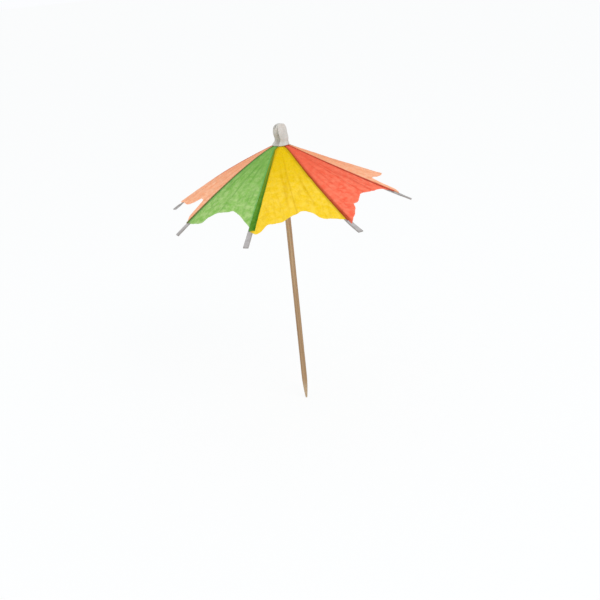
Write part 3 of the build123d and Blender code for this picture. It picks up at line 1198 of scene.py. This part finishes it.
# Rolled card: a sheet wound on itself, whose coils give a point for their turns and share of the height
def rolledPiece(name, coils, thickness, finish):
    points, faces, rims = [], [], []
    for coil in coils:
        offset = len(points)
        rows, columns = coil["grid"]
        for row in range(rows + 1):
            for column in range(columns + 1):
                turns, share = between(*coil["turns"], column / columns), row / rows
                points.append(coil["point"](turns, share))
                atEnd = row in (0, rows) or (coil["edge"] and column == 0)
                # A coil may add painted shade along its groove to the rim mark
                grooveShade = coil["grooveShade"](turns, share) if "grooveShade" in coil else 0.0
                rims.append(max(grooveShade, coil.get("rimSoil", 1.0) if atEnd else 0.0))
        faces += gridFaces(rows + 1, columns + 1, offset)
    mesh = bpy.data.meshes.new(name)
    mesh.from_pydata(points, [], faces)
    addMarks(mesh, {"rim": rims})
    return newPiece(name, thickened(mesh, name, thickness), finish, sharpAngles["card"])


# Finial: the crown tube, wound from card, pinched flat and rounded at its top
finial = {
    "wall": 0.23 * mm,
    "pitch": 0.27 * mm,
    "outerTurns": 1.16,
    "innerTurns": 2.6,
    "overlap": 0.08,  # in turns, where the inner layers go on from the outer one
    "outerGrid": (44, 140),
    "innerGrid": (10, 90),
    "innerDepth": 1.6 * mm,  # the inner layers show only at the top
    "outerRecess": 0.02 * mm,
    "innerRecess": 0.05 * mm,  # the inner layers end a little lower
    "recessWaver": 0.5,
    "ripple": 0.03 * mm,
    "edgeAtBase": 33.0,  # the card's free edge, in degrees round the roll from the pinch
    "edgeAtTop": 74.0,
    "liftedEdge": 0.08 * mm,
    "liftedTurns": 0.08,
    "liftedHeight": 0.75,  # heights are shares of the roll's
    "groove": 0.36 * mm,  # how far the layer beside the free edge is pressed in
    "grooveAt": 0.94,  # in turns from the free edge
    "grooveTurns": 0.075,
    "grooveRise": (0.0, 0.2),
    "grooveFade": (0.55, 1.0),
    # Painted shade in the groove beside the free edge: its strength, spread in turns and fade towards the top
    "grooveShade": 0.9,
    "grooveShadeTurns": 0.085,
    "grooveShadeFade": (0.5, 1.0),
    "rimSoil": 0.35,
    "pinchFrom": 0.6,  # the solid is pinched above this height
    "flatHeight": 0.8,  # the roll is flat above this one
    "flare": 0.6 * mm,
    "flareHeight": 0.18,
    "cheekTurn": -45.0,
    "cheek": 0.32 * mm,  # the roll swells here above its waist
    "cheekAt": (0.55, 0.2),  # middle and spread
    "skirt": 0.36 * mm,  # and on the other side below it
    "skirtAt": (0.14, 0.28),
    "narrowing": 0.28 * mm,  # of that other side, towards the top
    "narrowRise": (0.35, 0.85),
    "baseAside": -0.05 * mm,  # the roll stands a little off the pick's axis
    "aside": 0.45 * mm,
    "asideHeight": 0.3,
    "lowered": 0.7 * mm,  # the card's rim ends a little below the solid's
    "nearDrop": 1.45 * mm,  # at the two ends of the pinch
    "farDrop": 2.8 * mm,
    "shoulder": 3.0,
    "square": 3.0,  # how box-like the pinched section is
    "packingDepth": 0.5 * mm,  # the rolled newsprint inside, from the roll's outer face
    "packingPitch": 0.14 * mm,
    "packingWall": 0.1 * mm,
    "packingTurns": 4.0,
    "packingGrid": (12, 120),
}


def makeFinial():
    low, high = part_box("crown_tube")
    tall = high.z - low.z
    baseRadius = widestOf(pointsOf("crown_tube", high=low.z + onFace))
    upper = pointsOf("crown_tube", low=low.z + finial["pinchFrom"] * tall)
    widest = max(upper, key=lambda point: point.xy.length)
    pinch = Vector((widest.x, widest.y, 0)).normalized()
    pinch = pinch if pinch.y < 0 else -pinch  # the end that faces the front
    square = Vector((-pinch.y, pinch.x, 0))
    rim = pointsOf("crown_tube", low=high.z - onFace)
    pinchHalf = max(abs(point.dot(square)) for point in rim)
    bound = 2 * math.pi * (baseRadius - finial["wall"] / 2)
    packingLow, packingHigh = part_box("crown_packing")

    def facing(turn, degrees):
        return max(math.cos(turn - math.radians(degrees)), 0) ** 2

    def bump(value, middle, spread):
        return math.exp(-(((value - middle) / spread) ** 2))

    def flareAt(rise):
        return finial["flare"] * (1 - smooth(0, finial["flareHeight"], rise))

    def section(turn, rise, depth):
        flat = smooth(0.0, finial["flatHeight"], rise)
        half = between(baseRadius, pinchHalf, flat) - finial["wall"] / 2
        length = (bound - 2 * math.pi * half) / 4
        half += flareAt(rise) - depth
        half += finial["cheek"] * facing(turn, finial["cheekTurn"]) * bump(rise, *finial["cheekAt"])
        other = finial["skirt"] * bump(rise, *finial["skirtAt"])
        other -= finial["narrowing"] * smooth(*finial["narrowRise"], rise)
        half += other * facing(turn, finial["cheekTurn"] + 180)
        boxed = math.tanh(finial["square"] * math.cos(turn)) / math.tanh(finial["square"])
        return half * math.cos(turn) + length * boxed, half * math.sin(turn)

    def topOf(turn, depth):
        x = section(turn, 1.0, depth)[0]
        over = min(abs(x) / section(0.0, 1.0, 0.0)[0], 1)
        drop = finial["nearDrop"] if x > 0 else finial["farDrop"]
        return high.z - finial["lowered"] - drop * over ** finial["shoulder"]

    def pressedIn(turns, share):
        upTo = smooth(*finial["grooveRise"], share) * (1 - smooth(*finial["grooveFade"], share))
        return finial["groove"] * upTo * bump(turns, finial["grooveAt"], finial["grooveTurns"])

    def placed(turn, rise, depth):
        x, y = section(turn, rise, depth)
        aside = between(finial["baseAside"], finial["aside"], smooth(0, finial["asideHeight"], rise))
        return pinch * x + square * y + Vector((aside, 0, between(low.z, high.z, rise)))

    def coilPoint(turns, share, recess, length=None):
        depth = finial["pitch"] * turns + pressedIn(turns, share)
        edge = math.radians(between(finial["edgeAtBase"], finial["edgeAtTop"], share))
        turn = edge + 2 * math.pi * turns
        waver = 1 + finial["recessWaver"] * noise.noise(Vector((turns * 5, 2, 2)))
        top = topOf(turn, depth) - recess * waver
        z = between(top - length if length else low.z, top, share)
        rise = (z - low.z) / tall
        lifted = finial["liftedEdge"] * max(1 - turns / finial["liftedTurns"], 0) ** 2
        lifted *= max(1 - rise / finial["liftedHeight"], 0)
        ripple = finial["ripple"] * noise.noise(Vector((turns * 9, rise * 6, 8)))
        return placed(turn, rise, depth - lifted - ripple)

    def outerPoint(turns, share):
        return coilPoint(turns, share, finial["outerRecess"])

    def innerPoint(turns, share):
        return coilPoint(turns, share, finial["innerRecess"], finial["innerDepth"])

    # Painted shade along the groove beside the card's free edge
    def grooveShadeAt(turns, share):
        fading = 1 - smooth(*finial["grooveShadeFade"], share)
        return finial["grooveShade"] * bump(turns, finial["grooveAt"], finial["grooveShadeTurns"]) * fading

    def packingPoint(turns, share):
        rise = share * (packingHigh.z - packingLow.z) / tall
        depth = finial["packingDepth"] + finial["packingPitch"] * turns + flareAt(rise)
        return placed(2 * math.pi * turns, rise, depth)

    outer = {"turns": (0.0, finial["outerTurns"]), "grid": finial["outerGrid"], "edge": True}
    outer |= {"point": outerPoint, "grooveShade": grooveShadeAt, "rimSoil": finial["rimSoil"]}
    innerTurns = (finial["outerTurns"] - finial["overlap"], finial["innerTurns"])
    inner = {"turns": innerTurns, "grid": finial["innerGrid"], "edge": False}
    inner |= {"point": innerPoint, "rimSoil": finial["rimSoil"]}
    roll = rolledPiece("finial_roll", [outer, inner], finial["wall"], finishes["crownCard"])
    standIn(roll, "root", "crown_tube")
    stuffing = {"turns": (0.0, finial["packingTurns"]), "grid": finial["packingGrid"], "edge": True}
    stuffing["point"] = packingPoint
    packing = rolledPiece("packing_roll", [stuffing], finial["packingWall"], finishes["newsprint"])
    standIn(packing, "root", "crown_packing")


makeFinial()


# Runner: the stretchers' rolled band, opened a little at its upper edge
runner = {
    "wall": 0.19 * mm,
    "turns": 1.3,
    "grid": (20, 90),
    "edgeAngle": 250.0,
    "collar": 0.12 * mm,
    "collarFrom": 0.78,  # share of the height
    "ripple": 0.02 * mm,
}


def makeRunner():
    low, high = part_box("runner_tube")
    radius = widestOf(pointsOf("runner_tube"))

    def bandPoint(turns, share):
        reach = radius - runner["wall"] / 2 - runner["wall"] * turns
        reach += runner["collar"] * smooth(runner["collarFrom"], 1.0, share)
        reach += runner["ripple"] * noise.noise(Vector((turns * 7, share * 5, 3)))
        turn = math.radians(runner["edgeAngle"]) + 2 * math.pi * turns
        return Vector((reach * math.cos(turn), reach * math.sin(turn), between(low.z, high.z, share)))

    band = {"turns": (0.0, runner["turns"]), "grid": runner["grid"], "edge": True, "point": bandPoint}
    piece = rolledPiece("runner_band", [band], runner["wall"], finishes["ribCard"])
    standIn(piece, "runner", "runner_tube")


makeRunner()
keptSolids = {"runner_lining": "newsprint", "retaining_ring": "ring_pink"}
for nodeName, finishName in keptSolids.items():
    nodes[nodeName].data.materials.clear()
    nodes[nodeName].data.materials.append(finishes[finishName])
print("finial and runner made,", len(keptSolids), "solids kept")


# Floor, world, lamps and camera
studio = {
    "floorRadius": 9.0,
    "floorSteps": 96,
    "floorColor": (238, 239, 241),
    "floorGlow": (254, 255, 255),
    "background": (252, 253, 255),
    "floorWhite": 0.86,  # how much of the floor's look is plain background to the camera
    "skyLight": 0.95,
    "lampAim": 0.8,  # share of the height that the lamps face
    "key": {"place": (0.28, -0.42, 0.5), "size": 0.35, "power": 1.1},
    "fill": {"place": (-0.5, -0.25, 0.25), "size": 0.5, "power": 0.35},
}
cameraSettings = {
    "lens": 48.0,
    "sensor": 36.0,
    "nearest": 10 * mm,
    "place": (-23.28 * mm, -254.1 * mm, 145.09 * mm),
    "azimuth": 5.51,
    "pitch": 22.69,
    "roll": -5.84,
}


def seenDirectly(tree):
    rays = put(tree, "ShaderNodeLightPath").outputs
    seen = calc(tree, "MAXIMUM", rays["Is Camera Ray"], rays["Is Glossy Ray"])
    return calc(tree, "MAXIMUM", seen, rays["Is Transmission Ray"])


def makeFloor():
    finish, tree, surface = newFinish("pale_floor")
    shaded = put(tree, "ShaderNodeBsdfDiffuse", {"Color": fromSrgb(*studio["floorColor"])}).outputs[0]
    white = put(tree, "ShaderNodeEmission", {"Color": fromSrgb(*studio["floorGlow"])}).outputs[0]
    share = calc(tree, "MULTIPLY", seenDirectly(tree), studio["floorWhite"])
    feed(tree, surface, put(tree, "ShaderNodeMixShader", {0: share, 1: shaded, 2: white}).outputs[0])
    steps, radius = studio["floorSteps"], studio["floorRadius"]
    angles = [2 * math.pi * step / steps for step in range(steps)]
    ring = [(radius * math.cos(angle), radius * math.sin(angle), 0) for angle in angles]
    mesh = bpy.data.meshes.new("floor")
    mesh.from_pydata(ring, [], [tuple(range(steps))])
    mesh.materials.append(finish)
    floor = bpy.data.objects.new("floor", mesh)
    bpy.context.scene.collection.objects.link(floor)


def makeWorld():
    world = bpy.data.worlds.new("soft_white")
    bpy.context.scene.world = world
    world.use_nodes = True
    tree = world.node_tree
    tree.nodes.clear()
    surface = tree.nodes.new("ShaderNodeOutputWorld").inputs["Surface"]
    level = remap(tree, seenDirectly(tree), 0.0, 1.0, studio["skyLight"], 1.0)
    sky = {"Color": fromSrgb(*studio["background"]), "Strength": level}
    feed(tree, surface, put(tree, "ShaderNodeBackground", sky).outputs[0])


def makeLamp(name, look):
    lamp = bpy.data.lights.new(name, "AREA")
    lamp.shape = "DISK"
    lamp.size = look["size"]
    lamp.energy = look["power"]
    holder = bpy.data.objects.new(name, lamp)
    holder.location = look["place"]
    target = upward * cadBox[1].z * studio["lampAim"]
    holder.rotation_euler = (target - holder.location).to_track_quat("-Z", "Y").to_euler()
    bpy.context.scene.collection.objects.link(holder)


def makeCamera():
    azimuth, pitch, roll = (math.radians(cameraSettings[key]) for key in ("azimuth", "pitch", "roll"))
    ahead = Vector((math.sin(azimuth), math.cos(azimuth), 0))
    forward = ahead * math.cos(pitch) - upward * math.sin(pitch)
    level = Vector((math.cos(azimuth), -math.sin(azimuth), 0))
    over = level.cross(forward)
    right = level * math.cos(roll) + over * math.sin(roll)
    above = over * math.cos(roll) - level * math.sin(roll)
    data = bpy.data.cameras.new("camera")
    data.lens = cameraSettings["lens"]
    data.sensor_width = cameraSettings["sensor"]
    data.clip_start = cameraSettings["nearest"]
    camera = bpy.data.objects.new("camera", data)
    turned = Matrix((right, above, -forward)).transposed().to_4x4()
    camera.matrix_world = Matrix.Translation(cameraSettings["place"]) @ turned
    bpy.context.scene.collection.objects.link(camera)
    bpy.context.scene.camera = camera


makeFloor()
makeWorld()
makeLamp("key_lamp", studio["key"])
makeLamp("fill_lamp", studio["fill"])
makeCamera()
bpy.context.scene.view_settings.view_transform = "Standard"
print("floor, lamps and camera placed")
